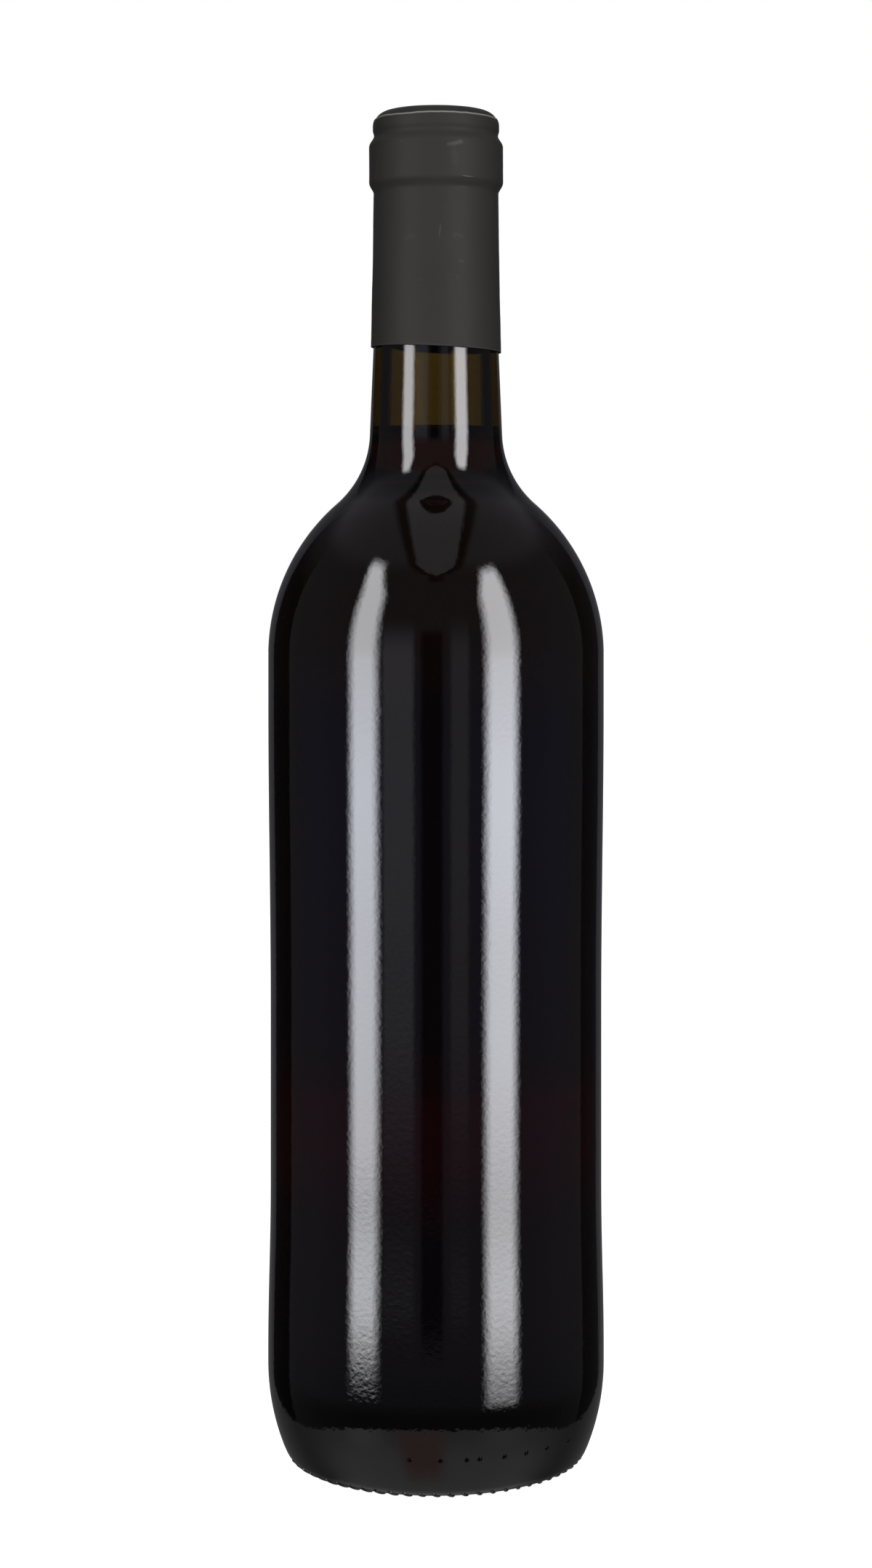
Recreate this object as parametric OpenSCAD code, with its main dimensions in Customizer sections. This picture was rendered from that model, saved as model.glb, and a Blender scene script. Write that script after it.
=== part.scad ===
// Wine bottle: dark glass, red wine up to its fill level, and a shrunk capsule
// with a separate top disc. It stands on the ring round its punt, +Z up.

/* [Glass body] */
// Height of the glass, from the bearing ring to the top of the lip
bottle_h = 300.9; // [270:0.1:361]
// Diameter at the two contact bands, above and below the label panel
body_d = 75.2; // [62:0.1:91]
// Wall thickness at the contact bands
body_wall = 2.4; // [1.8:0.1:3.2]
// How far the label panel lies inside the contact bands
panel_depth = 0.55; // [0:0.05:0.8]
// Height of the widest line of the heel
heel_h = 21.6; // [18:0.1:26]
// Radius of the long curve of the heel
heel_r = 49; // [40:0.5:59]
// Radius of the corner between heel and bearing ring
corner_r = 3.9; // [3:0.1:4.7]

/* [Base] */
// Width of the flat bearing ring
bearing_w = 2; // [1:0.1:3]
// Depth of the punt, from the bearing ring to its top
punt_h = 14; // [8:0.5:20]
// Thickness of the glass under the wine
base_wall = 5; // [3.5:0.1:6.5]
// Radius of the inner heel, where the wall meets the bottom
inner_heel_r = 9; // [6:0.5:11]

/* [Shoulder and neck] */
// Length of the neck with its finish, from the end of the shoulder's curve to the lip
neck_l = 71.4; // [59:0.1:86]
// Radius of the round shoulder
shoulder_r = 45; // [38:0.5:54]
// Radius of the hollow curve from shoulder to neck
fillet_r = 21.4; // [17.5:0.1:25.7]
// Radius of the neck where that curve ends
neck_r = 14.85; // [13:0.05:17]
// Taper of the neck below the capsule, in degrees from upright
neck_taper = 2.5; // [0:0.1:3]
// Radius of the neck just under the bead
neck_top_r = 13.8; // [12.5:0.05:14]
// Radius of the bore at the mouth
bore_r = 9.3; // [7.8:0.05:11]
// Radius of the bore at the foot of the neck
bore_foot_r = 10.9; // [9.1:0.05:12]
// Radius of the hollow curve inside the shoulder
inner_fillet_r = 25; // [20:0.5:30]

/* [Finish] */
// Radius of the bead
bead_r = 14.84; // [14.2:0.02:16]
// Height of the lip above the bead
lip_band = 5.2; // [4.3:0.1:6.3]
// Height of the bead with both its flanks
bead_h = 13; // [10.8:0.1:15.6]
// Height of each flank of the bead
flank_h = 2.6; // [2:0.1:3.2]
// Radius of the lip above the bead
lip_r = 13.71; // [13:0.01:14.6]
// Radius of the rounded edge of the lip
lip_edge_r = 3; // [1.8:0.1:3.4]

/* [Contents] */
// Distance from the lip down to the wine
fill_drop = 70.5; // [55:0.1:84]

/* [Capsule] */
// Length of the sleeve, down from the lip, at its middle
sleeve_l = 53.1; // [44:0.1:63]
// Thickness of the sleeve's film
sleeve_t = 0.2; // [0.15:0.01:0.3]
// How far the sleeve's cut edge stands off the neck
sleeve_gap = 0.36; // [0:0.02:0.6]
// Slant of the cut edge, in degrees, with its low side at +X
sleeve_slant = 2.5; // [-4:0.1:4]
// Thickness of the top disc
disc_t = 0.25; // [0.2:0.01:0.4]
// How far the skirt of the disc reaches down inside the sleeve
disc_skirt = 0.9; // [0.7:0.1:1.1]
// How far the sleeve reaches in over the disc, in degrees from its side
sleeve_reach = 25; // [10:1:60]

/* [Mould dots] */
// Radius of the ball that each dot on the heel is cut from
dot_r = 0.75; // [0.5:0.05:1]
// Share of that radius by which a dot stands out
dot_out = 0.5; // [0.3:0.05:0.8]
// Height of the row of dots
dot_z = 9.3; // [6:0.1:14]
// Where the dots are round the heel, in degrees from the front (-Y) to +X
dot_angles = [-9, 1.5, 10.5, 15, 24, 32.5, 41.5, 53];

/* [Hidden] */
$fn = 96;
arc_step = 4;       // degrees between points on an arc
long_arc_step = 1.5; // the same on arcs of a large radius
panel_steps = 28;   // points along the label panel

body_r = body_d / 2;
inner_r = body_r - body_wall;
fill_z = bottle_h - fill_drop;
sleeve_z = bottle_h - sleeve_l;
bead_top = bottle_h - lip_band;
bead_z = bead_top - bead_h;
mouth_round = 0.8;
edge_r = min(lip_edge_r, 0.6 * lip_band, lip_r - bore_r - mouth_round - 0.1);

// Points on an arc round c, from angle a to angle b
function arc(c, r, a, b, step = arc_step) =
    let (n = max(2, ceil(abs(b - a) / step)))
    [for (i = [0 : n]) c + r * [cos(a + (b - a) * i / n), sin(a + (b - a) * i / n)]];

// A smooth step from 0 to 1 as t goes from 0 to 1
function ease(t) = 0.5 - 0.5 * cos(180 * min(1, max(0, t)));

// Unit vector to the right of a path that passes from a to b
function right_of(a, b) = [b.y - a.y, a.x - b.x] / norm(b - a);

// A path moved to its right by d, which is outwards on a path that climbs
function moved_out(path, d) =
    let (n = len(path) - 1)
    [for (i = [0 : n]) path[i] + d * right_of(path[max(0, i - 1)], path[min(n, i + 1)])];

// ---- outer surface of the glass, from the bearing ring up to the lip ----

heel_c = [body_r - heel_r, heel_h];
bearing_r = heel_c.x + sqrt(pow(heel_r - corner_r, 2) - pow(heel_h - corner_r, 2));
heel_a = atan2(corner_r - heel_h, bearing_r - heel_c.x);

fillet_x = neck_r + fillet_r * cos(neck_taper);
shoulder_a = acos((fillet_x - body_r + shoulder_r) / (shoulder_r + fillet_r));
shoulder_z = bottle_h - neck_l - (shoulder_r + fillet_r) * sin(shoulder_a);
shoulder_c = [body_r - shoulder_r, shoulder_z];
fillet_c = shoulder_c + (shoulder_r + fillet_r) * [cos(shoulder_a), sin(shoulder_a)];

// The label panel is hollowed gently: its lower edge is short, its upper edge long
panel_lo = heel_h + 3;
panel_hi = shoulder_z - 10;
panel_l = panel_hi - panel_lo;
function panel_r(z) =
    let (up = ease((z - panel_lo) / (0.25 * panel_l)))
    let (down = ease((panel_hi - z) / (0.48 * panel_l)))
    body_r - panel_depth * min(up, down);

heel_path = concat(
    arc([bearing_r, corner_r], corner_r, -90, heel_a, 8),
    arc(heel_c, heel_r, heel_a, 0, long_arc_step)
);
panel_path = [for (i = [0 : panel_steps]) let (z = panel_lo + panel_l * i / panel_steps) [panel_r(z), z]];
shoulder_path = concat(
    arc(shoulder_c, shoulder_r, 0, shoulder_a),
    arc(fillet_c, fillet_r, 180 + shoulder_a, 180 + neck_taper)
);

// The bead's flanks are eased steps, as pressed glass under a film is never sharp
function flank(r0, r1, z0, h = flank_h) =
    [for (i = [0 : 6]) [r0 + (r1 - r0) * ease(i / 6), z0 + h * i / 6]];
neck_bend = [neck_r - tan(neck_taper) * (sleeve_z - fillet_c.y), sleeve_z];
finish_path = concat(
    flank(neck_top_r, bead_r, bead_z),
    flank(bead_r, lip_r, bead_top - flank_h),
    arc([lip_r - edge_r, bottle_h - edge_r], edge_r, 0, 90, 6)
);
neck_path = [for (i = [0 : 7]) let (t = i / 8) [
    neck_top_r + (neck_bend.x - neck_top_r) * pow(1 - t, 2),
    neck_bend.y + (bead_z - neck_bend.y) * t
]];
outer_path = concat([[bearing_r - bearing_w, 0]], heel_path, panel_path, shoulder_path, neck_path, finish_path);

// ---- inner surface of the glass, from the middle of the punt up to the mouth ----

punt_rim_r = bearing_r - bearing_w;
punt_ball_r = (pow(punt_rim_r, 2) + pow(punt_h, 2)) / (2 * punt_h);
punt_c = [0, punt_h - punt_ball_r];
punt_a = atan2(-punt_c.y, punt_rim_r);
punt_path = arc(punt_c, punt_ball_r, 90, punt_a);

// The bottom is a ball over the punt, and a ring-shaped trough joins it to the wall
base_ball_r = punt_ball_r + base_wall;
trough_x = inner_r - inner_heel_r;
trough_y = punt_c.y + sqrt(pow(base_ball_r + inner_heel_r, 2) - pow(trough_x, 2));
trough_c = [trough_x, trough_y];
trough_a = atan2(trough_y - punt_c.y, trough_x);

inner_shoulder_r = shoulder_r - body_wall;
inner_fillet_x = bore_foot_r + inner_fillet_r;
inner_shoulder_a = acos((inner_fillet_x - shoulder_c.x) / (inner_shoulder_r + inner_fillet_r));
inner_fillet_c = shoulder_c
    + (inner_shoulder_r + inner_fillet_r) * [cos(inner_shoulder_a), sin(inner_shoulder_a)];

inner_path = concat(
    arc(punt_c, base_ball_r, 90, trough_a),
    arc(trough_c, inner_heel_r, trough_a - 180, 0),
    arc(shoulder_c, inner_shoulder_r, 0, inner_shoulder_a),
    arc(inner_fillet_c, inner_fillet_r, 180 + inner_shoulder_a, 180)
);
bore_path = [
    [bore_r, bottle_h - mouth_round],
    [bore_r + mouth_round, bottle_h]
];

function reversed(path) = [for (i = [len(path) - 1 : -1 : 0]) path[i]];

// Radius of the bore at a height in the neck
function bore_at(z) = lookup(z, [for (p = concat(inner_path, bore_path)) [p.y, p.x]]);

// Radius of the glass at a height above the heel
function glass_at(z) = lookup(z, [for (p = outer_path) [p.y, p.x]]);

module mould_dots() {
    sink = dot_r * (1 - dot_out);
    for (a = dot_angles)
        rotate([0, 0, a - 90])
            translate([glass_at(dot_z) - sink, 0, dot_z]) sphere(r = dot_r, $fn = 32);
}

module bottle_glass() {
    color([0.055, 0.05, 0.03]) {
        rotate_extrude() polygon(concat(
            reversed(punt_path), // from the rim of the punt up to its middle
            inner_path,
            bore_path,
            reversed(outer_path)
        ));
        mould_dots();
    }
}

module wine() {
    color([0.16, 0.01, 0.02])
        rotate_extrude() polygon(concat(
            [for (p = inner_path) if (p.y < fill_z - 0.01) p],
            [[bore_at(fill_z), fill_z], [0, fill_z]]
        ));
}

// ---- the capsule follows the glass from its cut edge to the lip ----

film_steps = 14;
skirt_lo = sleeve_z - 3; // cut off at a slant afterwards
function stand_off(z) = sleeve_gap * max(0, (bead_z - z) / (bead_z - sleeve_z));
skirt_path = [for (i = [0 : film_steps]) let (z = skirt_lo + (bead_z - skirt_lo) * i / film_steps)
    [glass_at(z) + stand_off(z), z]];
lip_edge_c = [lip_r - edge_r, bottle_h - edge_r];
disc_z = lip_edge_c.y - disc_skirt;
tuck_h = 0.6; // the film steps out over the disc's skirt in this height
film_path = concat(
    [for (i = [0 : film_steps - 1]) skirt_path[i]],
    flank(neck_top_r, bead_r, bead_z),
    flank(bead_r, lip_r, bead_top - flank_h),
    flank(lip_r, lip_r + disc_t, disc_z - tuck_h, tuck_h),
    arc(lip_edge_c, edge_r + disc_t, 0, sleeve_reach, 5)
);

module capsule_sleeve() {
    color([0.215, 0.21, 0.205])
        difference() {
            rotate_extrude() polygon(concat(film_path, reversed(moved_out(film_path, sleeve_t))));
            translate([0, 0, sleeve_z]) rotate([0, sleeve_slant, 0])
                translate([0, 0, -20]) cube([6 * bead_r, 6 * bead_r, 40], center = true);
        }
}

module capsule_disc() {
    over_r = edge_r + disc_t;
    color([0.17, 0.165, 0.16])
        rotate_extrude() polygon(concat(
            [[lip_r, disc_z], [lip_r + disc_t, disc_z]],
            arc(lip_edge_c, over_r, 0, 90, 6),
            [[0, lip_edge_c.y + over_r], [0, lip_edge_c.y + edge_r]],
            arc(lip_edge_c, edge_r, 90, 0, 6)
        ));
}

bottle_glass();
wine();
capsule_sleeve();
capsule_disc();
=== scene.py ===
"""A sealed bottle of red wine: the dark glass, the wine, and the shrunk capsule with its top disc.

Lengths are in millimetres until a mesh is made, and heights run up from the bearing ring. Directions
round the bottle are in degrees from the front (-Y) toward +X.
"""
import math

import bmesh
import bpy
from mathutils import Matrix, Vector, noise


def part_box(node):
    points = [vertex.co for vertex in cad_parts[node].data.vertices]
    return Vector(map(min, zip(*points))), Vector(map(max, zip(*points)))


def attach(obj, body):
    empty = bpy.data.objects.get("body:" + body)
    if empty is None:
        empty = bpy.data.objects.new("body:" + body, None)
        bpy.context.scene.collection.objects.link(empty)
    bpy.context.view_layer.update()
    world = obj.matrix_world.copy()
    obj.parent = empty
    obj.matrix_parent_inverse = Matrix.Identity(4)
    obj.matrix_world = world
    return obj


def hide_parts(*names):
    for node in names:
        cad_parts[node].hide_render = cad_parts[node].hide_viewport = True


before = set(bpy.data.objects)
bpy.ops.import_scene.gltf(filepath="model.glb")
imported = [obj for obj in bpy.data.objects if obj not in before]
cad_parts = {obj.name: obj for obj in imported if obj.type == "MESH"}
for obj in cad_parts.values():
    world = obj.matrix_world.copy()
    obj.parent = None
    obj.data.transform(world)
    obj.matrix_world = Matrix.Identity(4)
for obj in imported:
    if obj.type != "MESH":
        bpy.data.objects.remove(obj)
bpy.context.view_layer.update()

MM = 0.001

# ---------------------------------------------------------------- sizes

# From the frame
body_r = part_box("bottle_glass")[1].x / MM
bottle_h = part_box("bottle_glass")[1].z / MM
fill_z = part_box("wine")[1].z / MM
capsule_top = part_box("capsule_disc")[1].z / MM

# Glass body and base
body_wall = 2.4
panel_depth = 0.55    # how far the label panel is hollowed
panel_foot = 0.25     # share of the panel's height over which its lower edge eases in
panel_head = 0.48     # and its upper edge
heel_h = 21.6
heel_r = 49
corner_r = 3.9
bearing_w = 2
punt_h = 14
base_wall = 5
inner_heel_r = 9

# Shoulder, neck and finish
neck_l = 71.4
shoulder_r = 45
fillet_r = 21.4
neck_r = 14.85
neck_taper = 2.5
neck_top_r = 13.8
bore_r = 9.3
bore_foot_r = 10.9
inner_fillet_r = 25
bead_r = 14.84
lip_band = 5.2
bead_h = 13
flank_h = 2.6
lip_r = 13.71
edge_r = 3
mouth_round = 0.8

# Wine
meniscus_rise = 2.1   # how far the wine climbs up the wall of the bore
meniscus_width = 1.5
wall_reach = 0.15     # how far the wine reaches into the glass

# Capsule
sleeve_l = 53.1
sleeve_t = 0.2
sleeve_gap = 0.36
sleeve_slant = 2.5
sleeve_reach = 25
disc_t = capsule_top - bottle_h
disc_skirt = 0.9

# Marks pressed into the glass; their half sizes are outwards, across and up
dot_z = 9.3
dot_sunk = 0.05
dot_size = (0.26, 0.58, 0.70)
dot_angles = (-9, 1.5, 10.5, 15, 24, 32.5, 41.5, 53)
knurl_count = 64
knurl_size = (0.5, 0.62, 1.7)
knurl_sunk = 0.18
knurl_lean = 34
knurl_a = -62         # where the knurls sit on the corner of the base, in degrees from level
knurl_out = 0.3       # the bearing ring rides this high on them

# Heights between which the tint of the glass fades from one colour to the next
# The meniscus heights bound a painted shade line where the edge of the wine stands behind the glass
meniscus_shade_heights = (fill_z - 3.6, fill_z - 2.6)
shoulder_tint = (166, 176)
# The glow heights bound a painted glow: a band low in the body where the glass lets more red light
# through
painted_glow_foot = (52, 66)
painted_glow_head = (88, 85)
neck_tint_drop = 22   # the neck's tint begins this far below the foot of the neck

round_steps = 256     # faces round each turned piece


# ---------------------------------------------------------------- outlines

def arc(centre, r, a, b, step=2.0):
    """Points on an arc from angle a to angle b, in degrees."""
    n = max(2, math.ceil(abs(b - a) / step))
    turns = [math.radians(a + (b - a) * i / n) for i in range(n + 1)]
    return [(centre[0] + r * math.cos(t), centre[1] + r * math.sin(t)) for t in turns]


def ease(t):
    """A smooth step from 0 to 1."""
    return 0.5 - 0.5 * math.cos(math.pi * min(1, max(0, t)))


def flank(r0, r1, z0, h=flank_h, steps=12):
    """An eased step in radius that starts at height z0."""
    return [(r0 + (r1 - r0) * ease(i / steps), z0 + h * i / steps) for i in range(steps + 1)]


def moved_out(path, d):
    """A climbing path moved away from the axis by d, at right angles to itself."""
    moved = []
    for i, (r, z) in enumerate(path):
        r0, z0 = path[max(0, i - 1)]
        r1, z1 = path[min(len(path) - 1, i + 1)]
        run = math.hypot(r1 - r0, z1 - z0)
        moved.append((max(0, r + d * (z1 - z0) / run), z - d * (r1 - r0) / run))
    return moved


def radius_at(path, z):
    """Radius of a climbing path at a height."""
    for (r0, z0), (r1, z1) in zip(path, path[1:]):
        if z0 <= z <= z1 and z1 > z0:
            return r0 + (r1 - r0) * (z - z0) / (z1 - z0)
    return path[-1][0]


inner_r = body_r - body_wall
sleeve_z = bottle_h - sleeve_l
bead_top = bottle_h - lip_band
bead_z = bead_top - bead_h
lip_edge_c = (lip_r - edge_r, bottle_h - edge_r)

heel_c = (body_r - heel_r, heel_h)
bearing_r = heel_c[0] + math.sqrt((heel_r - corner_r) ** 2 - (heel_h - corner_r) ** 2)
heel_a = math.degrees(math.atan2(corner_r - heel_h, bearing_r - heel_c[0]))
corner_c = (bearing_r, corner_r)

fillet_x = neck_r + fillet_r * math.cos(math.radians(neck_taper))
shoulder_a = math.degrees(math.acos((fillet_x - body_r + shoulder_r) / (shoulder_r + fillet_r)))
shoulder_z = bottle_h - neck_l - (shoulder_r + fillet_r) * math.sin(math.radians(shoulder_a))
shoulder_c = (body_r - shoulder_r, shoulder_z)
fillet_c = (fillet_x, bottle_h - neck_l)
neck_bend_r = neck_r - math.tan(math.radians(neck_taper)) * (sleeve_z - fillet_c[1])
panel_low = heel_h + 3
panel_high = shoulder_z - 10


def base_lift(z):
    """The corner of the base is lifted a little, so that the bottle stands on its knurls."""
    return z + knurl_out * max(0, 1 - z / corner_r)


def panel_r(z):
    """The label panel is hollowed gently: its lower edge is short, its upper edge long."""
    up = ease((z - panel_low) / (panel_foot * (panel_high - panel_low)))
    down = ease((panel_high - z) / (panel_head * (panel_high - panel_low)))
    return body_r - panel_depth * min(up, down)


def outer_path():
    """Outside of the glass, from the bearing ring up to the top of the lip."""
    base = [(bearing_r - bearing_w, 0)] + arc(corner_c, corner_r, -90, heel_a, 4)
    heel = arc(heel_c, heel_r, heel_a, 0, 0.8)
    panel_steps = 44
    heights = [panel_low + (panel_high - panel_low) * i / panel_steps for i in range(panel_steps + 1)]
    panel = [(panel_r(z), z) for z in heights]
    shoulder = arc(shoulder_c, shoulder_r, 0, shoulder_a, 1.4)
    hollow = arc(fillet_c, fillet_r, 180 + shoulder_a, 180 + neck_taper, 2)
    neck = []
    neck_steps = 12
    for i in range(neck_steps):
        spare = (neck_bend_r - neck_top_r) * (1 - i / neck_steps) ** 2
        neck.append((neck_top_r + spare, sleeve_z + (bead_z - sleeve_z) * i / neck_steps))
    finish = flank(neck_top_r, bead_r, bead_z) + flank(bead_r, lip_r, bead_top - flank_h)
    lip = arc(lip_edge_c, edge_r, 0, 90, 6)
    path = base + heel + panel + shoulder + hollow + neck + finish + lip
    return [(r, base_lift(z)) for r, z in path]


def inner_path():
    """Inside of the glass, from the middle of its bottom up to the mouth."""
    ball_r = punt_ball_r + base_wall
    trough_x = inner_r - inner_heel_r
    trough_z = punt_c[1] + math.sqrt((ball_r + inner_heel_r) ** 2 - trough_x ** 2)
    trough_a = math.degrees(math.atan2(trough_z - punt_c[1], trough_x))
    hollow_x = bore_foot_r + inner_fillet_r
    inner_shoulder_r = shoulder_r - body_wall
    reach = inner_shoulder_r + inner_fillet_r
    turn = math.degrees(math.acos((hollow_x - shoulder_c[0]) / reach))
    hollow_c = (hollow_x, shoulder_z + reach * math.sin(math.radians(turn)))
    bottom = arc(punt_c, ball_r, 90, trough_a, 3)
    trough = arc((trough_x, trough_z), inner_heel_r, trough_a - 180, 0, 6)
    wall_steps = 20
    wall_rise = shoulder_z - trough_z
    wall = [(inner_r, trough_z + wall_rise * i / wall_steps) for i in range(1, wall_steps)]
    shoulder = arc(shoulder_c, inner_shoulder_r, 0, turn, 2)
    hollow = arc(hollow_c, inner_fillet_r, 180 + turn, 180, 3)
    mouth_z = bottle_h - mouth_round
    bore = []
    bore_steps = 10
    for i in range(1, bore_steps + 1):
        r = bore_foot_r + (bore_r - bore_foot_r) * i / bore_steps
        bore.append((r, hollow_c[1] + (mouth_z - hollow_c[1]) * i / bore_steps))
    mouth = arc((bore_r + mouth_round, mouth_z), mouth_round, 180, 90, 15)
    return bottom + trough + wall + shoulder + hollow + bore + mouth[1:]


punt_rim_r = bearing_r - bearing_w
punt_ball_r = (punt_rim_r ** 2 + punt_h ** 2) / (2 * punt_h)
punt_c = (0, punt_h - punt_ball_r)
outside = outer_path()
inside = inner_path()


# ---------------------------------------------------------------- geometry node trees

def tree_with_inputs(name, *inputs):
    """A geometry tree with a geometry in and out and (name, kind) inputs, with its node maker."""
    tree = bpy.data.node_groups.new(name, "GeometryNodeTree")
    tree.interface.new_socket("Geometry", in_out="INPUT", socket_type="NodeSocketGeometry")
    tree.interface.new_socket("Geometry", in_out="OUTPUT", socket_type="NodeSocketGeometry")
    for label, kind in inputs:
        tree.interface.new_socket(label, in_out="INPUT", socket_type="NodeSocket" + kind)
    return tree, node_maker(tree)


def node_maker(tree):
    """A function that adds a node to the tree, sets its options and wires or fills its inputs."""
    def add(kind, wired=None, **options):
        node = tree.nodes.new(kind)
        for option, value in options.items():
            setattr(node, option, value)
        for key, value in (wired or {}).items():
            if isinstance(value, bpy.types.NodeSocket):
                tree.links.new(value, node.inputs[key])
            else:
                node.inputs[key].default_value = value
        return node
    return add


def turned_tree():
    """A tree that turns an outline in the XZ plane round Z into a closed shell."""
    tree, add = tree_with_inputs("Turned shell", ("Steps Round", "Int"), ("Finish", "Material"))
    given = add("NodeGroupInput").outputs
    size = add("GeometryNodeAttributeDomainSize", {"Geometry": given["Geometry"]})
    columns = add("ShaderNodeMath", {0: given["Steps Round"], 1: 1.0}, operation="ADD").outputs[0]
    rows = size.outputs["Point Count"]
    grid = add("GeometryNodeMeshGrid", {"Vertices X": rows, "Vertices Y": columns})
    index = add("GeometryNodeInputIndex").outputs[0]
    row = add("ShaderNodeMath", {0: index, 1: columns}, operation="DIVIDE").outputs[0]
    row = add("ShaderNodeMath", {0: row}, operation="FLOOR").outputs[0]
    column = add("ShaderNodeMath", {0: index, 1: columns}, operation="MODULO").outputs[0]
    column = add("ShaderNodeMath", {0: column, 1: given["Steps Round"]}, operation="MODULO").outputs[0]
    share = add("ShaderNodeMath", {0: column, 1: given["Steps Round"]}, operation="DIVIDE").outputs[0]
    turn = add("ShaderNodeMath", {0: share, 1: math.tau}, operation="MULTIPLY").outputs[0]
    point = add("GeometryNodeSampleIndex", {
        "Geometry": given["Geometry"],
        "Value": add("GeometryNodeInputPosition").outputs[0],
        "Index": row,
    }, data_type="FLOAT_VECTOR")
    turned = add("ShaderNodeVectorRotate", {
        "Vector": point.outputs[0], "Angle": turn,
    }, rotation_type="Z_AXIS")
    lined = add("GeometryNodeSampleIndex", {
        "Geometry": given["Geometry"],
        "Value": add("GeometryNodeInputNamedAttribute", {"Name": "lining"}).outputs[0],
        "Index": row,
    }, data_type="FLOAT")
    shell = add("GeometryNodeSetPosition", {
        "Geometry": grid.outputs["Mesh"], "Position": turned.outputs[0],
    })
    shell = add("GeometryNodeStoreNamedAttribute", {
        "Geometry": shell.outputs[0], "Name": "lining", "Value": lined.outputs[0],
    }, data_type="FLOAT", domain="POINT")
    shell = add("GeometryNodeMergeByDistance", {"Geometry": shell.outputs[0], "Distance": 0.001 * MM})
    shell = add("GeometryNodeSetShadeSmooth", {"Geometry": shell.outputs[0]})
    shell = add("GeometryNodeRealizeInstances", {"Geometry": shell.outputs[0]})
    shell = add("GeometryNodeSetMaterial", {"Geometry": shell.outputs[0], "Material": given["Finish"]})
    add("NodeGroupOutput", {"Geometry": shell.outputs[0]})
    return tree


def pressed_marks_tree():
    """A tree that puts a small oval mark on each given point, turned to face away from the axis."""
    tree, add = tree_with_inputs(
        "Pressed marks", ("Mark Size", "Vector"), ("Tilt", "Float"), ("Lean", "Float"),
        ("Unevenness", "Float"), ("Finish", "Material"),
    )
    given = add("NodeGroupInput").outputs
    ball = add("GeometryNodeMeshUVSphere", {"Segments": 14, "Rings": 8, "Radius": 1.0})
    oval = add("GeometryNodeTransform", {"Geometry": ball.outputs[0], "Scale": given["Mark Size"]})
    lean = add("ShaderNodeCombineXYZ", {0: given["Lean"]})
    oval = add("GeometryNodeTransform", {"Geometry": oval.outputs[0], "Rotation": lean.outputs[0]})
    tilt = add("ShaderNodeCombineXYZ", {1: given["Tilt"]})
    oval = add("GeometryNodeTransform", {"Geometry": oval.outputs[0], "Rotation": tilt.outputs[0]})
    place = add("ShaderNodeSeparateXYZ", {0: add("GeometryNodeInputPosition").outputs[0]})
    turn = add("ShaderNodeMath", {0: place.outputs[1], 1: place.outputs[0]}, operation="ARCTAN2")
    facing = add("ShaderNodeCombineXYZ", {2: turn.outputs[0]})
    least = add("ShaderNodeMath", {0: 1.0, 1: given["Unevenness"]}, operation="SUBTRACT")
    size = add("FunctionNodeRandomValue", {
        "Min": least.outputs[0], "Max": 1.0, "Seed": 5,
    }, data_type="FLOAT")
    marks = add("GeometryNodeInstanceOnPoints", {
        "Points": given["Geometry"], "Instance": oval.outputs[0],
        "Rotation": facing.outputs[0], "Scale": size.outputs[1],
    })
    marks = add("GeometryNodeRealizeInstances", {"Geometry": marks.outputs[0]})
    marks = add("GeometryNodeSetShadeSmooth", {"Geometry": marks.outputs[0]})
    marks = add("GeometryNodeSetMaterial", {"Geometry": marks.outputs[0], "Material": given["Finish"]})
    add("NodeGroupOutput", {"Geometry": marks.outputs[0]})
    return tree


def run_tree(name, mesh, tree, **values):
    """The plain mesh object that a geometry tree makes of a mesh, with its inputs set by identifier."""
    piece = bpy.data.objects.new(name, mesh)
    bpy.context.scene.collection.objects.link(piece)
    modifier = piece.modifiers.new(tree.name, "NODES")
    modifier.node_group = tree
    for socket in tree.interface.items_tree:
        key = socket.name.replace(" ", "_").lower()
        if socket.in_out == "INPUT" and key in values:
            modifier[socket.identifier] = values[key]
    graph = bpy.context.evaluated_depsgraph_get()
    made = bpy.data.meshes.new_from_object(piece.evaluated_get(graph), depsgraph=graph)
    piece.modifiers.clear()
    piece.data = made
    made.name = name
    return piece


def facing_out(mesh):
    """Turns every face of a closed mesh outwards."""
    shell = bmesh.new()
    shell.from_mesh(mesh)
    bmesh.ops.recalc_face_normals(shell, faces=shell.faces)
    shell.to_mesh(mesh)
    shell.free()


turned_shell = turned_tree()
pressed_marks = pressed_marks_tree()


def turned_piece(name, outline, finish, lining=None):
    """A closed piece turned from an outline of (radius, height). Its lining is 1 at inner points."""
    mesh = bpy.data.meshes.new(name)
    n = len(outline)
    mesh.from_pydata([(r * MM, 0, z * MM) for r, z in outline], [(i, i + 1) for i in range(n - 1)], [])
    marked = mesh.attributes.new("lining", "FLOAT", "POINT")
    marked.data.foreach_set("value", lining or [0.0] * n)
    piece = run_tree(name, mesh, turned_shell, steps_round=round_steps, finish=finish)
    facing_out(piece.data)
    return piece


# ---------------------------------------------------------------- shader helpers

def shader_group(name, inputs, outputs):
    """A shader group with (name, kind, value) inputs and (name, kind) outputs."""
    tree = bpy.data.node_groups.new(name, "ShaderNodeTree")
    for label, kind, value in inputs:
        socket = tree.interface.new_socket(label, in_out="INPUT", socket_type="NodeSocket" + kind)
        socket.default_value = value
    for label, kind in outputs:
        tree.interface.new_socket(label, in_out="OUTPUT", socket_type="NodeSocket" + kind)
    return tree, node_maker(tree)


def blank_material(name):
    """A material with only its output, and its node maker."""
    material = bpy.data.materials.new(name)
    material.use_nodes = True
    material.node_tree.nodes.clear()
    return material, node_maker(material.node_tree)


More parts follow.
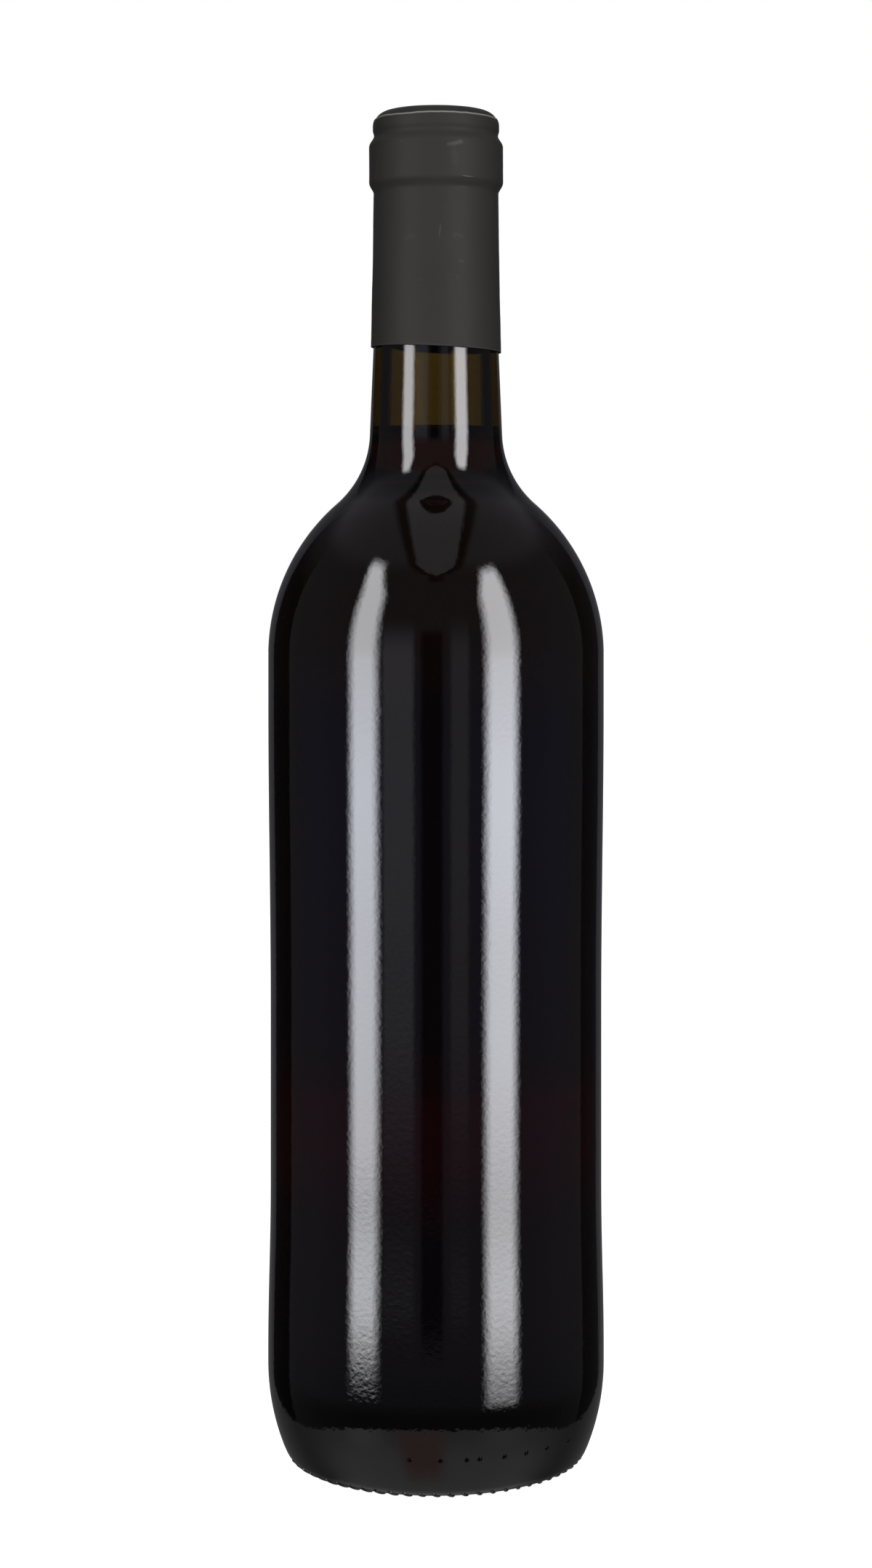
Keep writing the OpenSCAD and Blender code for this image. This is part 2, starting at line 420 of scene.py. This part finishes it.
def maths(add):
    """Short forms for the Math, Map Range and Mix nodes of one tree."""
    def calc(operation, a, b=0.0):
        return add("ShaderNodeMath", {0: a, 1: b}, operation=operation).outputs[0]

    def fade(value, low, high):
        """0 below low, 1 above high, smooth between; reversed when high is the smaller."""
        if low > high:
            return calc("SUBTRACT", 1.0, fade(value, high, low))
        return add("ShaderNodeMapRange", {
            "Value": value, "From Min": low, "From Max": high,
        }, interpolation_type="SMOOTHSTEP").outputs[0]

    def blend(share, a, b):
        return add("ShaderNodeMix", {0: share, 6: a, 7: b}, data_type="RGBA").outputs[2]

    return calc, fade, blend


def rgba(*values):
    """One grey or three values as a colour with alpha."""
    return (values * 3 if len(values) == 1 else values) + (1.0,)


# ---------------------------------------------------------------- effects shared by materials

def ripple_group():
    """Height of the faint orange peel and slow waves of pressed or shrunk surfaces, in metres."""
    tree, add = shader_group("Surface ripple", [
        ("Position", "Vector", (0, 0, 0)),
        ("Grain Size", "Float", 0.8 * MM),
        ("Grain Height", "Float", 0.0),
        ("Wave Size", "Float", 12 * MM),
        ("Wave Height", "Float", 0.0),
    ], [("Height", "Float")])
    calc = maths(add)[0]
    given = add("NodeGroupInput").outputs

    def bumps(size, height, detail):
        scale = calc("DIVIDE", 1.0, size)
        field = add("ShaderNodeTexNoise", {
            "Vector": given["Position"], "Scale": scale, "Detail": detail,
        })
        return calc("MULTIPLY", calc("SUBTRACT", field.outputs[0], 0.5), height)

    grain = bumps(given["Grain Size"], given["Grain Height"], 1.0)
    waves = bumps(given["Wave Size"], given["Wave Height"], 0.0)
    add("NodeGroupOutput", {"Height": calc("ADD", grain, waves)})
    return tree


def rub_and_highlight_group():
    """Mask of one rubbed spot, or of a painted highlight along a crease or fold: an oval round a
    centre, broken up by a fine noise.
    """
    tree, add = shader_group("Rubbed spot and crease highlight", [
        ("Position", "Vector", (0, 0, 0)),
        ("Centre", "Vector", (0, 0, 0)),
        ("Half Size", "Vector", (1, 1, 1)),
        ("Tilt", "Float", 0.0),
        ("Breakup", "Float", 0.5),
        ("Strength", "Float", 1.0),
        ("Hollow", "Float", 0.0),
    ], [("Mask", "Float")])
    calc, fade, _ = maths(add)
    given = add("NodeGroupInput").outputs
    away = add("ShaderNodeVectorMath", {0: given["Position"], 1: given["Centre"]}, operation="SUBTRACT")
    away = add("ShaderNodeVectorRotate", {
        "Vector": away.outputs[0], "Angle": given["Tilt"],
    }, rotation_type="Y_AXIS")
    away = add("ShaderNodeVectorMath", {0: away.outputs[0], 1: given["Half Size"]}, operation="DIVIDE")
    far = add("ShaderNodeVectorMath", {0: away.outputs[0]}, operation="LENGTH").outputs["Value"]
    breakup_size = 0.9 * MM
    field = add("ShaderNodeTexNoise", {
        "Vector": given["Position"], "Scale": 1 / breakup_size, "Detail": 2.0,
    })
    broken = calc("MULTIPLY", calc("SUBTRACT", field.outputs[0], 0.5), given["Breakup"])
    far = calc("ADD", far, calc("MULTIPLY", broken, 3.0))
    middle = calc("MULTIPLY", fade(far, 0.8, 0.55), given["Hollow"])
    near = calc("MULTIPLY", fade(far, 1.0, 0.35), calc("SUBTRACT", 1.0, middle))
    add("NodeGroupOutput", {"Mask": calc("MULTIPLY", near, given["Strength"])})
    return tree


surface_ripple = ripple_group()
rub_and_crease_highlight = rub_and_highlight_group()


def rippled(add, place, grain_size, grain_height, wave_size, wave_height):
    """A bump node driven by the surface ripple."""
    ripple = add("ShaderNodeGroup", {
        "Position": place, "Grain Size": grain_size, "Grain Height": grain_height,
        "Wave Size": wave_size, "Wave Height": wave_height,
    }, node_tree=surface_ripple)
    return add("ShaderNodeBump", {"Height": ripple.outputs[0], "Distance": 1.0, "Strength": 1.0})


def clouded(add, place, size, dark, pale):
    """A colour that drifts slowly between two shades."""
    cloud = add("ShaderNodeTexNoise", {"Vector": place, "Scale": 1 / size, "Detail": 3.0}).outputs[0]
    return maths(add)[2](cloud, dark, pale)


# ---------------------------------------------------------------- materials

def dark_glass(name, sheen, roughness):
    """Olive glass, which looks nearly black wherever wine stands behind it.

    Most of its tint is in its outer face, a little is in its depth, and its lining adds none.
    Sheen is how much it reflects, from 0 to 1.
    """
    neck_colour = rgba(0.125, 0.100, 0.0200)     # nothing behind it
    # Painted shade: a dark line where the edge of the wine stands behind the glass
    meniscus_shade_colour = rgba(0.0050, 0.0045, 0.0030)   # the edge of the wine behind it
    thin_colour = rgba(0.0310, 0.0075, 0.0030)   # the little wine in the neck behind it
    high_colour = rgba(0.0075, 0.0036, 0.0012)   # the wine in the shoulder behind it
    body_colour = rgba(0.0032, 0.0018, 0.0020)   # the whole width of the wine behind it
    # Painted glow: the band low in the body passes more red light than the body above it
    painted_glow_colour = rgba(0.0110, 0.0004, 0.0004)   # the wine low in the body, with a red glow in it
    material, add = blank_material(name)
    calc, fade, blend = maths(add)
    place = add("ShaderNodeTexCoord").outputs["Object"]
    height = add("ShaderNodeSeparateXYZ", {0: place}).outputs[2]

    def climb(heights):
        """0 below the first height and 1 above the second; reversed when the first is the higher."""
        return fade(height, heights[0] * MM, heights[1] * MM)

    # Painted light by height: a band low in the body lets more red light through, a painted glow, and
    # the body above it stays dark up to the shoulder as painted shade
    body = blend(climb(shoulder_tint), body_colour, high_colour)
    body = blend(calc("MULTIPLY", climb(painted_glow_foot), climb(painted_glow_head)), body, painted_glow_colour)
    filled = blend(climb((fillet_c[1] - neck_tint_drop, fillet_c[1])), body, thin_colour)
    # Painted shade: a dark line in the glass where the edge of the wine stands behind it
    filled = blend(climb(meniscus_shade_heights), filled, meniscus_shade_colour)
    colour = blend(climb((fill_z - meniscus_rise, fill_z)), filled, neck_colour)
    lining = add("ShaderNodeAttribute", attribute_name="lining").outputs["Fac"]
    colour = blend(lining, colour, rgba(1.0))

    # The grain is twice as deep near the foot
    grain = calc("ADD", 9.0e-6, calc("MULTIPLY", climb((60, 8)), 9.0e-6))
    bump = rippled(add, place, 1.0 * MM, grain, 14 * MM, 22e-6)
    shader = add("ShaderNodeBsdfPrincipled", {
        "Base Color": colour, "Roughness": roughness, "IOR": 1.52, "Specular Tint": rgba(sheen),
        "Transmission Weight": 1.0, "Normal": bump.outputs[0],
    })
    depth = add("ShaderNodeVolumeAbsorption", {"Color": rgba(0.52, 0.42, 0.15), "Density": 400.0})
    add("ShaderNodeOutputMaterial", {"Surface": shader.outputs[0], "Volume": depth.outputs[0]})
    return material


def red_wine():
    """Red wine. It is kept clear, because the tint of the glass round it holds its depth of colour."""
    material, add = blank_material("red_wine")
    shader = add("ShaderNodeBsdfPrincipled", {
        "Base Color": rgba(0.9, 0.75, 0.78), "Roughness": 0.0, "IOR": 1.34, "Specular IOR Level": 0.0,
        "Transmission Weight": 1.0,
    })
    depth = add("ShaderNodeVolumeAbsorption", {"Color": rgba(0.6, 0.2, 0.3), "Density": 8.0})
    add("ShaderNodeOutputMaterial", {"Surface": shader.outputs[0], "Volume": depth.outputs[0]})
    return material


def sleeve_film():
    """Matt charcoal shrink film: fine grain, rubbed places, painted highlights along its creases and
    folds, and painted highlights on its cut edges.
    """
    material, add = blank_material("sleeve_film")
    calc, _, blend = maths(add)
    place = add("ShaderNodeTexCoord").outputs["Object"]
    colour = clouded(add, place, 9 * MM, rgba(0.0375, 0.0357, 0.0340), rgba(0.0430, 0.0408, 0.0388))
    # Centre, half size, tilt, breakup, strength and hollowness of the rubbed places, and of the painted
    # highlights along creases and folds
    spots = [
        ((4.4, -14.4, 292.3), (2.0, 4.0, 0.7), 0.1, 0.6, 0.20, 0.0),
        ((4.2, -14.4, 289.2), (1.1, 4.0, 2.4), 0.1, 0.9, 0.10, 0.6),
        ((-7.6, -12.7, 292.9), (0.5, 4.0, 0.12), 0.9, 0.1, 0.2, 0.0),
        ((7.0, -12.9, 285.1), (1.9, 4.0, 0.10), -0.05, 0.1, 0.8, 0.0),
        ((6.1, -13.3, 283.0), (1.1, 4.0, 0.10), -0.05, 0.3, 0.18, 0.0),
        ((0.9, -14.2, 273.2), (0.14, 4.0, 2.0), -0.12, 0.05, 0.22, 0.0),
        ((-5.6, -13.2, 271.8), (1.5, 4.0, 0.8), 0.3, 0.8, 0.06, 0.3),
        ((4.8, -13.5, 272.2), (1.6, 4.0, 0.6), -0.2, 0.8, 0.07, 0.3),
        ((5.6, -13.3, 266.5), (0.9, 4.0, 0.5), 0.2, 0.7, 0.06, 0.0),
        ((3.7, -13.8, 262.9), (1.5, 4.0, 0.75), 0.0, 0.15, 0.14, 1.0),
        ((-3.2, -14.2, 262.2), (0.22, 4.0, 0.18), 0.5, 0.3, 0.2, 0.0),
    ]
    rub_and_crease_mask = 0.0
    for centre, half, tilt, breakup, strength, hollow in spots:
        spot = add("ShaderNodeGroup", {
            "Position": place, "Centre": [x * MM for x in centre], "Half Size": [x * MM for x in half],
            "Tilt": tilt, "Breakup": breakup, "Strength": strength, "Hollow": hollow,
        }, node_tree=rub_and_crease_highlight)
        rub_and_crease_mask = calc("MAXIMUM", spot.outputs[0], rub_and_crease_mask)
    # Rubbed places are paler film; along the creases and folds the paleness is a painted highlight
    colour = blend(rub_and_crease_mask, colour, rgba(0.24, 0.23, 0.22))
    # Painted highlights along the cut edges of the film
    edge_highlight = add("ShaderNodeAttribute", attribute_name="cut_edge").outputs["Fac"]
    colour = blend(edge_highlight, colour, rgba(0.60, 0.59, 0.58))
    bump = rippled(add, place, 0.35 * MM, 6e-6, 6 * MM, 40e-6)
    shader = add("ShaderNodeBsdfPrincipled", {
        "Base Color": colour, "Roughness": 0.55, "IOR": 1.5, "Specular IOR Level": 0.09,
        "Normal": bump.outputs[0],
    })
    add("ShaderNodeOutputMaterial", {"Surface": shader.outputs[0]})
    return material


def disc_film():
    """The same film on the top disc, a little darker and more glossy."""
    material, add = blank_material("disc_film")
    place = add("ShaderNodeTexCoord").outputs["Object"]
    colour = clouded(add, place, 4 * MM, rgba(0.022, 0.022, 0.021), rgba(0.034, 0.033, 0.032))
    bump = rippled(add, place, 0.6 * MM, 8e-6, 3.5 * MM, 60e-6)
    shader = add("ShaderNodeBsdfPrincipled", {
        "Base Color": colour, "Roughness": 0.42, "IOR": 1.5, "Specular IOR Level": 0.25,
        "Normal": bump.outputs[0],
    })
    add("ShaderNodeOutputMaterial", {"Surface": shader.outputs[0]})
    return material


# ---------------------------------------------------------------- pieces

def bottle():
    """The glass: outside, lip, bore, bottom and punt in one closed shell."""
    under = arc(punt_c, punt_ball_r, 90, math.degrees(math.atan2(-punt_c[1], punt_rim_r)), 3)
    under = [(r, base_lift(z)) for r, z in under]
    outline = under[:-1] + outside + inside[::-1]
    lining = [0.0] * (len(under) - 1 + len(outside)) + [1.0] * len(inside)
    return turned_piece("bottle", outline, glass_finish, lining)


def wine():
    """The wine: it reaches into the wall, and its top climbs up the bore in a meniscus."""
    level = fill_z - meniscus_rise
    rim_drop = 0.3
    steps = 24
    side = [p for p in moved_out(inside, wall_reach) if p[1] < fill_z - rim_drop]
    side[0] = (0, side[0][1])
    rim_r = radius_at(inside, fill_z) + wall_reach
    top = []
    for i in range(steps + 1):
        away = (i / steps) ** 2 * rim_r
        top.append((rim_r - away, level + meniscus_rise * math.exp(-away / meniscus_width)))
    return turned_piece("wine_fill", side + top, wine_finish)


def ring_points(name, angles, r, z):
    """A mesh of single points on a level ring, at angles from the front toward +X."""
    mesh = bpy.data.meshes.new(name)
    turns = [math.radians(a - 90) for a in angles]
    mesh.from_pydata([(r * MM * math.cos(t), r * MM * math.sin(t), z * MM) for t in turns], [], [])
    return mesh


def heel_dots():
    """The row of small raised dots above the heel."""
    r = radius_at(outside, dot_z) - dot_sunk
    slope = math.atan2(dot_z - heel_h, r - heel_c[0])
    points = ring_points("heel_dots", dot_angles, r, dot_z)
    return run_tree(
        "heel_dots", points, pressed_marks, mark_size=[s * MM for s in dot_size], tilt=-slope, lean=0.0,
        unevenness=0.15, finish=dimmed_dot_finish,
    )


def bearing_knurls():
    """The slanted marks on the corner of the base, which the bottle stands on."""
    turn = math.radians(knurl_a)
    depth = corner_r - knurl_sunk
    r = bearing_r + depth * math.cos(turn)
    z = base_lift(corner_r + depth * math.sin(turn))
    angles = [360 * i / knurl_count for i in range(knurl_count)]
    points = ring_points("bearing_knurls", angles, r, z)
    return run_tree(
        "bearing_knurls", points, pressed_marks, mark_size=[s * MM for s in knurl_size], tilt=-turn,
        lean=math.radians(knurl_lean), unevenness=0.12, finish=glass_finish,
    )


def film_path():
    """The inner face of the sleeve, from its cut edge up and in over the lip."""
    steps = 70
    skirt = []
    for i in range(steps):
        z = sleeve_z + (bead_z - sleeve_z) * i / steps
        stand_off = sleeve_gap * (bead_z - z) / (bead_z - sleeve_z)
        skirt.append((radius_at(outside, z) + stand_off, z))
    tuck_z = lip_edge_c[1] - disc_skirt
    band_steps = 16
    band_rise = bead_h - 2 * flank_h
    band = [(bead_r, bead_z + flank_h + band_rise * i / band_steps) for i in range(1, band_steps)]
    lip = flank(lip_r, lip_r + disc_t, bead_top, tuck_z - bead_top, 8)
    reach = arc(lip_edge_c, edge_r + disc_t, 0, sleeve_reach - 3, 5)
    edge = arc(lip_edge_c, edge_r + disc_t, sleeve_reach - 1.8, sleeve_reach, 0.9)
    bead = flank(neck_top_r, bead_r, bead_z) + band + flank(bead_r, lip_r, bead_top - flank_h)
    return skirt + bead + lip[1:] + reach + edge


def round_noise(turn, waves, z):
    """Noise that closes on itself round the axis; more waves make it finer."""
    return noise.noise(Vector((waves * math.cos(turn), waves * math.sin(turn), z)))


# Dents and folds on the front of the sleeve: depth, middle, half size, and how far the line sags.
# A fold is raised, so its depth is less than 0.
dents = (
    (0.09, (3.7, 262.8), (1.5, 0.4), 0.9),
    (0.06, (0.8, 273.0), (0.28, 2.0), 0.0),
    (0.07, (7.0, 284.55), (2.2, 0.3), 0.1),
    (-0.05, (7.0, 285.3), (2.2, 0.4), 0.1),
    (0.05, (6.0, 283.1), (1.4, 0.25), 0.1),
    (0.05, (4.6, 291.0), (1.2, 0.9), 0.0),
    (0.04, (3.9, 288.6), (0.7, 1.2), 0.0),
)


def dent_share(x, z, middle, half, sag):
    """How much of a dent's depth is reached at (x, z): an oval whose line may sag like a smile."""
    u = (x - middle[0]) / half[0]
    v = (z - middle[1] + sag * (1 - u * u)) / half[1]
    return math.exp(-2 * (u * u) ** 2 - 2 * v * v)


def sleeve():
    """The shrunk sleeve: its lower edge slants, its upper edge waves, and it has small dents."""
    inner = film_path()
    outer = moved_out(inner, sleeve_t)
    piece = turned_piece("shrunk_sleeve", inner + outer[::-1] + inner[:1], sleeve_finish)
    top_z = max(z for _, z in inner)
    slant = math.tan(math.radians(sleeve_slant))
    edge_highlight = piece.data.attributes.new("cut_edge", "FLOAT", "POINT")
    edge_highlight_values = []
    for v in piece.data.vertices:
        x, y, z = (c / MM for c in v.co)
        r, turn = math.hypot(x, y), math.atan2(x, -y)
        # Shares that grow toward the lower edge, over the lip, and at the upper edge itself
        lower = max(0, (bead_z - z) / (bead_z - sleeve_z))
        upper = ease((z - bead_top - 1.5) / 2.5)
        edge = ease((z - top_z + 1.0) / 1.0)
        # Painted highlights along the two cut edges, and how pale they are
        top_edge_highlight = ease((z - top_z + 0.14) / 0.04)
        low_edge_highlight = ease((sleeve_z + 0.08 - z) / 0.08)
        edge_highlight_values.append(max(0.42 * top_edge_highlight, 0.07 * low_edge_highlight))
        # Moves up or down, then outwards
        wave = round_noise(turn, 2.2, 0.3)
        seam = round_noise(turn, 7, 4.3)
        dz = -lower * slant * x + 0.15 * (wave + 0.6 * seam) * edge
        broad = noise.noise(Vector((x, y, 0.45 * z)) * 0.22)
        fine = noise.noise(Vector((x, y, z)) * 0.6)
        swell = 0.05 * broad + 0.02 * fine
        dr = swell * (1 - 0.6 * upper) + 0.03 * seam * upper
        if y < 0:
            for depth, *shape in dents:
                dr -= depth * dent_share(x, z, *shape)
        k = (r + dr) / r
        v.co = (x * k * MM, y * k * MM, (z + dz) * MM)
    edge_highlight.data.foreach_set("value", edge_highlight_values)
    return piece


def disc():
    """The top disc: its skirt goes down inside the sleeve, and its middle sinks over the mouth."""
    skirt_z = lip_edge_c[1] - disc_skirt
    over_r = edge_r + disc_t
    steps = 24
    over = arc(lip_edge_c, over_r, 0, 90, 5)
    back = arc(lip_edge_c, edge_r, 90, 0, 5)
    top = [(lip_edge_c[0] * (1 - i / steps), capsule_top) for i in range(1, steps + 1)]
    under = [(lip_edge_c[0] * i / steps, bottle_h) for i in range(steps)]
    skirt = [(lip_r, skirt_z), (lip_r + disc_t, skirt_z)]
    piece = turned_piece("top_disc", skirt + over + top + under + back + skirt[:1], disc_finish)
    for v in piece.data.vertices:
        x, y, z = (c / MM for c in v.co)
        r, turn = math.hypot(x, y), math.atan2(x, -y)
        folds = round_noise(turn, 3.5, 0.15 * z + 2)
        fine = round_noise(turn, 9, 0.4 * z)
        rim = ease((r - 9.5) / 3.5)
        uneven = 0.02 * (1 + noise.noise(Vector((x, y, 0)) * 0.35))
        sunk = -0.22 * ease((bore_r + 0.9 - r) / 1.6) - uneven
        dr = rim * (0.05 * folds + 0.03 * fine) * ease((capsule_top - z) / 1.5)
        k = (r + dr) / r if r > 0.01 else 1
        v.co = (x * k * MM, y * k * MM, (z + sunk * ease((z - 299) / 2)) * MM)
    return piece


glass_finish = dark_glass("dark_glass", sheen=1.0, roughness=0.0)
# The dots get a copy of the glass that reflects a tenth as much: painted shade that keeps them dark
dimmed_dot_finish = dark_glass("dull_glass", sheen=0.10, roughness=0.12)
wine_finish = red_wine()
sleeve_finish = sleeve_film()
disc_finish = disc_film()

for make, slot, node in (
    (bottle, "glass", "bottle_glass"),
    (heel_dots, "glass", None),
    (bearing_knurls, "glass", None),
    (wine, "wine", "wine"),
    (sleeve, "capsule", "capsule_sleeve"),
    (disc, "disc", "capsule_disc"),
):
    piece = make()
    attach(piece, "root")
    if node:
        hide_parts(node)


# ---------------------------------------------------------------- studio

def studio_light():
    """The studio as a world: windows of light and dark panels, placed by direction.

    A turn is in degrees from the front toward +X, and a rise is in degrees above the horizon.
    """
    world = bpy.data.worlds.new("studio")
    bpy.context.scene.world = world
    world.use_nodes = True
    world.node_tree.nodes.clear()
    add = node_maker(world.node_tree)
    calc, fade, blend = maths(add)
    way = add("ShaderNodeSeparateXYZ", {0: add("ShaderNodeTexCoord").outputs["Generated"]}).outputs
    forward = calc("MULTIPLY", way[1], -1.0)
    degrees = 180 / math.pi
    turn = calc("MULTIPLY", calc("ARCTAN2", way[0], forward), degrees)
    rise = calc("MULTIPLY", calc("ARCSINE", way[2]), degrees)
    aside = calc("ABSOLUTE", turn)

    def square(value):
        return calc("POWER", value, 2.0)

    def window(light, colour, turns, rises, soft, foot=None, head=None, bend=(0.0, 0.0)):
        """Lays a patch of one colour over the light so far, between two turns and two rises.

        Soft is half the width of its edges. Its foot and head may have their own, and bend
        moves its two upright edges aside.
        """
        foot, head = foot or soft, head or soft
        left = fade(calc("ADD", turn, bend[0]), turns[0] - soft, turns[0] + soft)
        right = fade(calc("ADD", turn, bend[1]), turns[1] + soft, turns[1] - soft)
        above = fade(rise, rises[0] - foot, rises[0] + foot)
        below = fade(rise, rises[1] + head, rises[1] - head)
        share = calc("MULTIPLY", calc("MULTIPLY", left, right), calc("MULTIPLY", above, below))
        return blend(share, light, colour)

    # The walls and the windows are bluer and brighter in a band just under the horizon
    band_rise = -5.5
    band_half = 4.0
    off_band = calc("DIVIDE", calc("ADD", rise, -band_rise), band_half)
    band = calc("DIVIDE", 1.0, calc("ADD", 1.0, square(calc("ABSOLUTE", off_band))))

    # Walls, darker at the sides, a paler ceiling, dark ground, and the white backdrop straight behind
    wall = blend(band, rgba(0.113, 0.111, 0.126), rgba(0.116, 0.126, 0.195))
    light = blend(fade(aside, 85, 118), wall, rgba(0.085, 0.085, 0.095))
    ceiling = fade(calc("ADD", rise, calc("MULTIPLY", aside, 0.15)), 50, 62)
    light = blend(ceiling, light, rgba(0.20, 0.20, 0.22))
    light = blend(fade(rise, -11, -24), light, rgba(0.05))
    # A dark screen on each side of the backdrop, which darkens the bottle's outline
    light = window(light, rgba(0.012, 0.012, 0.014), (-147, -119), (-30, 28), 1.0, 1.0, 12.0)
    light = window(light, rgba(0.022, 0.022, 0.025), (119, 147), (-30, 28), 1.0, 1.0, 12.0)
    light = blend(fade(aside, 170, 177), light, rgba(1.0))

    # The table: brighter by the two windows, with a reddish patch, round in front and straight at
    # its sides. Spread is how far out a direction meets it, against the height it comes down from.
    table = blend(fade(rise, -31, -45), rgba(0.34), rgba(0.46))
    table = window(table, rgba(0.52), (-66, -42), (-38, 0), 12.0, 6.0)
    table = window(table, rgba(0.45), (36, 62), (-38, 0), 12.0, 6.0)
    table = window(table, rgba(0.42, 0.27, 0.24), (-28, 6), (-56, -30), 8.0, 9.0)
    table = blend(calc("MULTIPLY", fade(aside, 65, 125), fade(rise, -60, -45)), table, rgba(0.10))
    ahead = calc("MAXIMUM", forward, 0.0)
    spread = calc("SQRT", calc("ADD", square(ahead), square(calc("ABSOLUTE", way[0]))))
    spread = calc("DIVIDE", spread, calc("MAXIMUM", calc("MULTIPLY", way[2], -1.0), 0.05))
    light = blend(fade(spread, 1.86, 1.76), light, table)

    # A long pale panel overhead, with a dark rim, a rounded point in front and a dark opening.
    # It is laid out on a ceiling at height 1, in distances across and along; past grows inwards.
    panel_half = 0.25
    panel_back = 1.2
    hole_half = (0.165, 0.34)
    hole_middle = 0.32
    steep = calc("MAXIMUM", way[2], 0.05)
    across = calc("ABSOLUTE", calc("DIVIDE", way[0], steep))
    along = calc("DIVIDE", way[1], steep)
    taper = calc("SQRT", calc("MAXIMUM", calc("MULTIPLY", calc("ADD", along, 0.93), 0.30), 0.0))
    past = calc("SUBTRACT", calc("MINIMUM", taper, panel_half), across)
    past = calc("MINIMUM", past, calc("ADD", along, 0.97))
    past = calc("MINIMUM", past, calc("SUBTRACT", panel_back, along))
    overhead = fade(way[2], 0.60, 0.66)
    light = blend(calc("MULTIPLY", overhead, fade(past, -0.16, -0.07)), light, rgba(0.045))
    light = blend(calc("MULTIPLY", overhead, fade(past, -0.03, 0.02)), light, rgba(0.36, 0.36, 0.38))
    hole_across = square(calc("DIVIDE", across, hole_half[0]))
    hole_along = square(calc("DIVIDE", calc("SUBTRACT", along, hole_middle), hole_half[1]))
    hole = calc("ADD", hole_across, hole_along)
    light = blend(calc("MULTIPLY", overhead, fade(hole, 1.15, 0.85)), light, rgba(0.03))

    # Panels and the dark camera, then the two soft windows, whose heads lean aside
    light = window(light, rgba(0.47, 0.48, 0.56), (-36, -15), (-10, 11), 2.0, 3.0, 11.0)
    light = window(light, rgba(0.31, 0.31, 0.35), (10, 22), (-10, 13), 2.0, 3.0, 12.0)
    light = window(light, rgba(0.025, 0.027, 0.040), (-10, 4.5), (-12.8, 14), 2.0, 1.2, 3.0)
    left = blend(band, rgba(8.8, 8.8, 9.0), rgba(11.3, 11.6, 12.9))
    right = blend(band, rgba(9.8, 9.7, 9.9), rgba(13.0, 13.3, 14.6))
    lean = calc("MULTIPLY", fade(rise, 30, 50), 5.0)
    left_bend = (lean, calc("MULTIPLY", lean, 2.0))
    right_bend = (calc("MULTIPLY", lean, -1.5), 0.0)
    light = window(light, left, (-59.5, -40.8), (-13.5, 48), 4.5, 2.8, 4.0, left_bend)
    light = window(light, right, (34.7, 56), (-14.7, 46), 4.5, 5.2, 4.0, right_bend)

    # Reflections see this light, and what looks through the glass sees white behind the bottle.
    # Matt surfaces get a share of it, with a soft fill from the front and one from behind.
    behind = blend(fade(aside, 145, 155), light, rgba(1.0))
    ray = add("ShaderNodeLightPath").outputs
    lit = add("ShaderNodeVectorMath", {0: light, 3: 0.20}, operation="SCALE").outputs[0]
    lit = window(lit, rgba(1.85, 1.82, 1.77), (-21, 30), (-40, 60), 12.0)
    lit = blend(fade(aside, 140, 165), lit, rgba(1.3))
    lit = blend(ray["Is Glossy Ray"], lit, light)
    lit = blend(ray["Is Transmission Ray"], lit, behind)
    lit = blend(ray["Is Camera Ray"], lit, rgba(1.0))
    shine = add("ShaderNodeBackground", {"Color": lit, "Strength": 1.0})
    add("ShaderNodeOutputWorld", {"Surface": shine.outputs[0]})


def studio_floor():
    """A white table top that shows only a faint contact shadow. Its reflection is in studio_light."""
    reach = 6.0
    corners = [(x * reach, y * reach, 0) for x, y in ((-1, -1), (1, -1), (1, 1), (-1, 1))]
    mesh = bpy.data.meshes.new("studio_floor")
    mesh.from_pydata(corners, [], [(0, 1, 2, 3)])
    floor = bpy.data.objects.new("studio_floor", mesh)
    bpy.context.scene.collection.objects.link(floor)
    material, add = blank_material("white_table")
    shader = add("ShaderNodeBsdfPrincipled", {
        "Base Color": rgba(0.8), "Roughness": 0.9, "Specular IOR Level": 0.0,
        "Emission Color": rgba(1.0), "Emission Strength": 0.93,
    })
    add("ShaderNodeOutputMaterial", {"Surface": shader.outputs[0]})
    mesh.materials.append(material)
    floor.visible_glossy = False
    floor.visible_diffuse = False


def studio_camera():
    """A level camera in front, its lens shifted so that the bottle stands in the middle."""
    camera = bpy.data.objects.new("camera", bpy.data.cameras.new("camera"))
    bpy.context.scene.collection.objects.link(camera)
    camera.location = (0, -0.670, 0.200)
    camera.rotation_euler = (math.radians(90), 0, 0)
    camera.data.lens = 68.56
    camera.data.shift_y = -0.1409
    camera.data.clip_end = 50
    bpy.context.scene.camera = camera


studio_light()
studio_floor()
studio_camera()
bpy.context.scene.view_settings.view_transform = "Standard"
